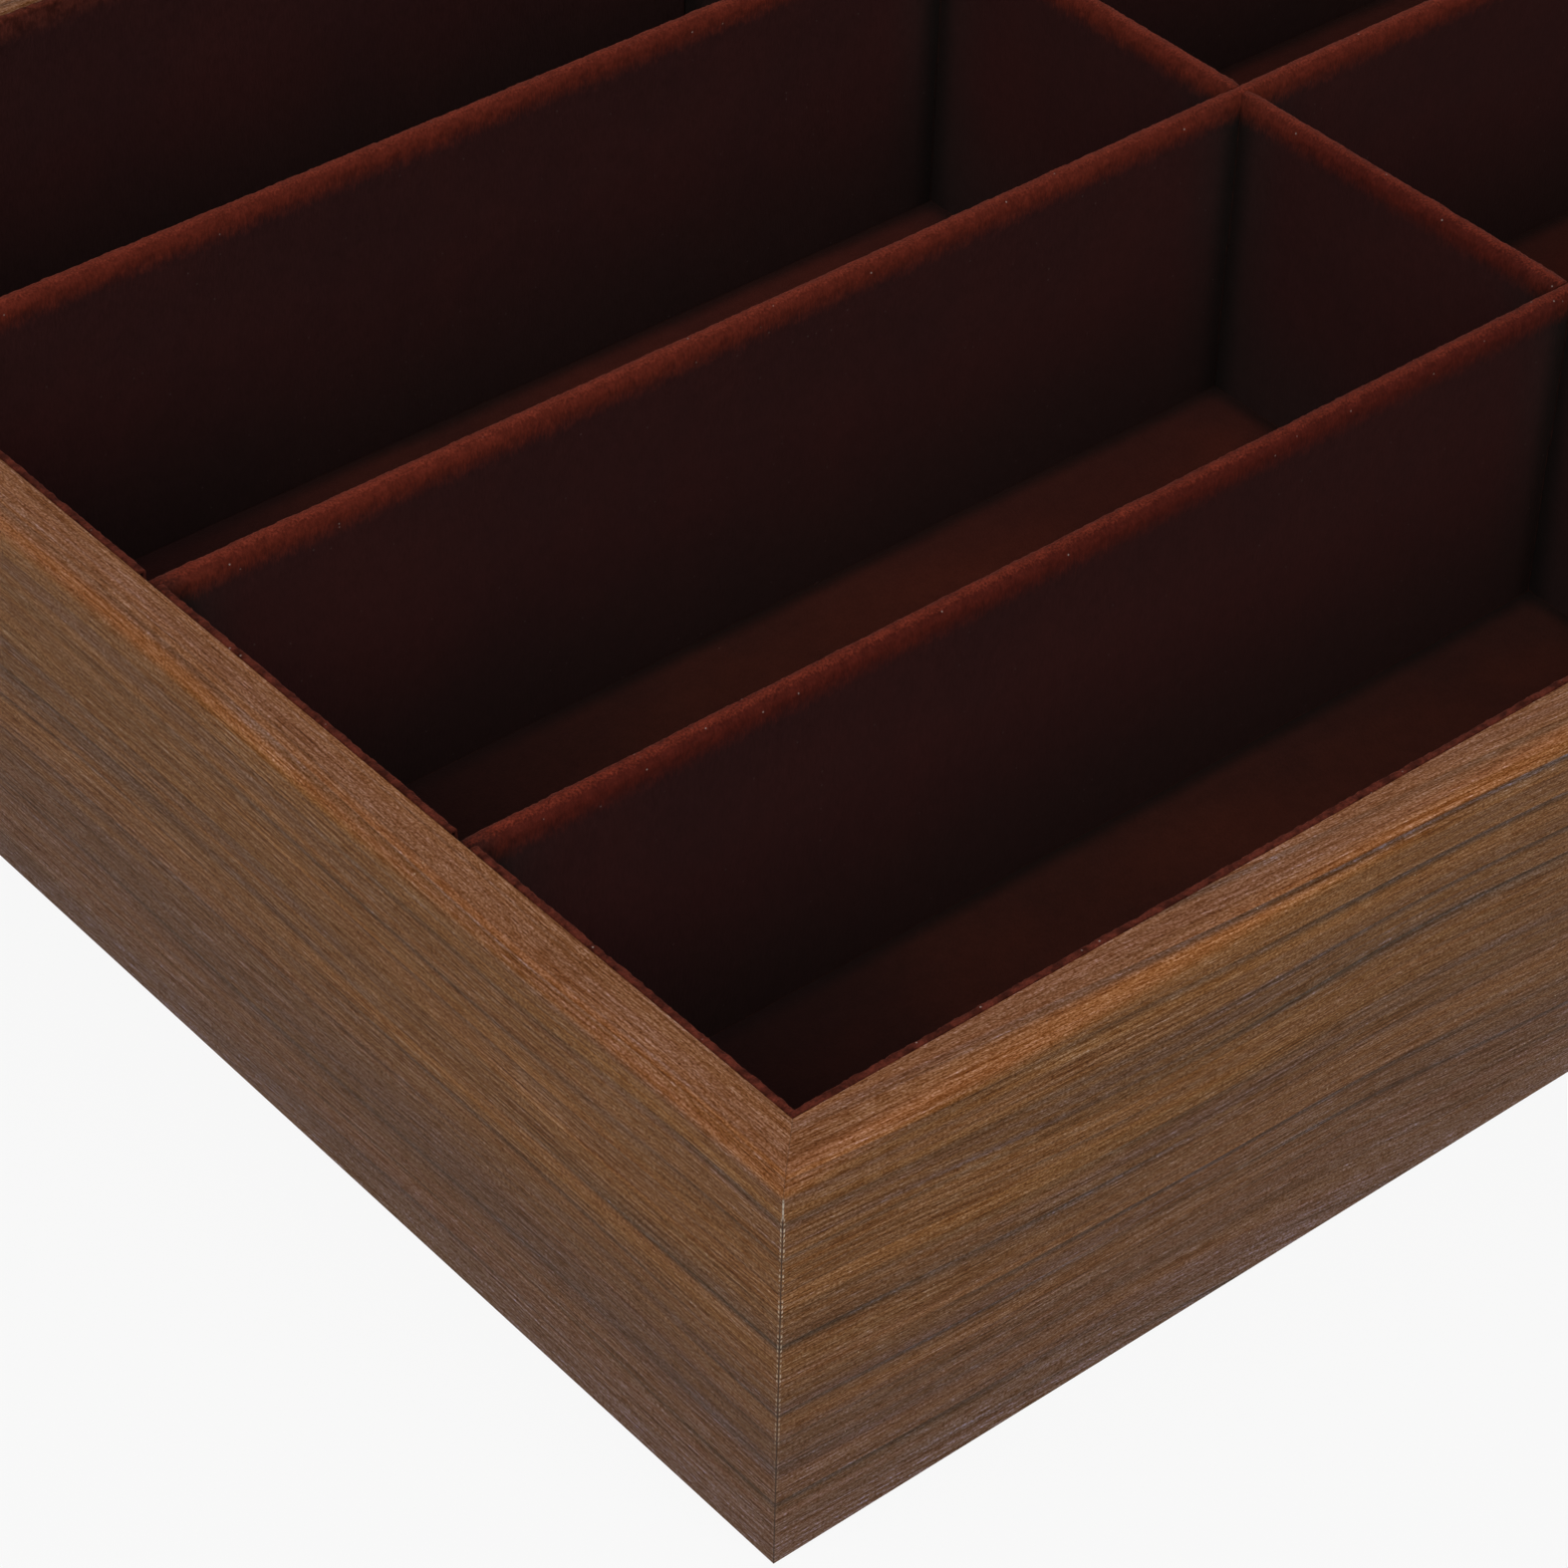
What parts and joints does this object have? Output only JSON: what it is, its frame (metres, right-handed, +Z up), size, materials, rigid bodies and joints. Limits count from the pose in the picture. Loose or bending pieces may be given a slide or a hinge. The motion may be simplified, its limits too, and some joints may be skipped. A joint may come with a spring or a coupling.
{
  "type": "glasses organizer box",
  "caption": "Open-top walnut-veneered tray with mitred walls, velvet lining and lift-out velvet dividers that halve into each other to form long compartments for glasses.",
  "frame": {"origin": "middle of the underside, on the surface that the box stands on", "axes": "+X along the long walls, +Y from the front wall to the back wall, +Z up out of the compartments"},
  "size_m": [0.3948, 0.2666, 0.06],
  "materials": {
    "walnut_veneer": "satin lacquered walnut veneer",
    "fibreboard": "raw fibreboard",
    "board": "dark paperboard",
    "velvet": "short-pile dark red-brown velvet",
    "felt": "thin dark felt"
  },
  "bodies": {
    "box": {"front_wall": "fibreboard", "back_wall": "fibreboard", "left_wall": "fibreboard", "right_wall": "fibreboard", "front_veneer": "walnut_veneer", "back_veneer": "walnut_veneer", "left_veneer": "walnut_veneer", "right_veneer": "walnut_veneer", "base_panel": "fibreboard", "underside_felt": "felt", "floor_card": "board", "floor_velvet": "velvet", "front_lining_card_1": "board", "front_lining_card_2": "board", "back_lining_card_1": "board", "back_lining_card_2": "board", "left_lining_card_1": "board", "left_lining_card_2": "board", "left_lining_card_3": "board", "left_lining_card_4": "board", "right_lining_card_1": "board", "right_lining_card_2": "board", "right_lining_card_3": "board", "right_lining_card_4": "board", "front_lining_velvet_1": "velvet", "front_lining_velvet_2": "velvet", "back_lining_velvet_1": "velvet", "back_lining_velvet_2": "velvet", "left_lining_velvet_1": "velvet", "left_lining_velvet_2": "velvet", "left_lining_velvet_3": "velvet", "left_lining_velvet_4": "velvet", "right_lining_velvet_1": "velvet", "right_lining_velvet_2": "velvet", "right_lining_velvet_3": "velvet", "right_lining_velvet_4": "velvet"},
    "cross_divider": {"cross_divider_core": "board", "cross_divider_velvet": "velvet"},
    "long_divider_1": {"long_divider_core_1": "board", "long_divider_velvet_1": "velvet"},
    "long_divider_2": {"long_divider_core_2": "board", "long_divider_velvet_2": "velvet"},
    "long_divider_3": {"long_divider_core_3": "board", "long_divider_velvet_3": "velvet"}
  },
  "joints": [
    {"name": "cross_divider_lift", "type": "slide", "parent": "box", "child": "cross_divider", "axis": [0, 0, 1], "range_m": [0, 0.055]},
    {"name": "long_divider_1_lift", "type": "slide", "parent": "cross_divider", "child": "long_divider_1", "axis": [0, 0, 1], "range_m": [0, 0.055]},
    {"name": "long_divider_2_lift", "type": "slide", "parent": "cross_divider", "child": "long_divider_2", "axis": [0, 0, 1], "range_m": [0, 0.055]},
    {"name": "long_divider_3_lift", "type": "slide", "parent": "cross_divider", "child": "long_divider_3", "axis": [0, 0, 1], "range_m": [0, 0.055]}
  ]
}
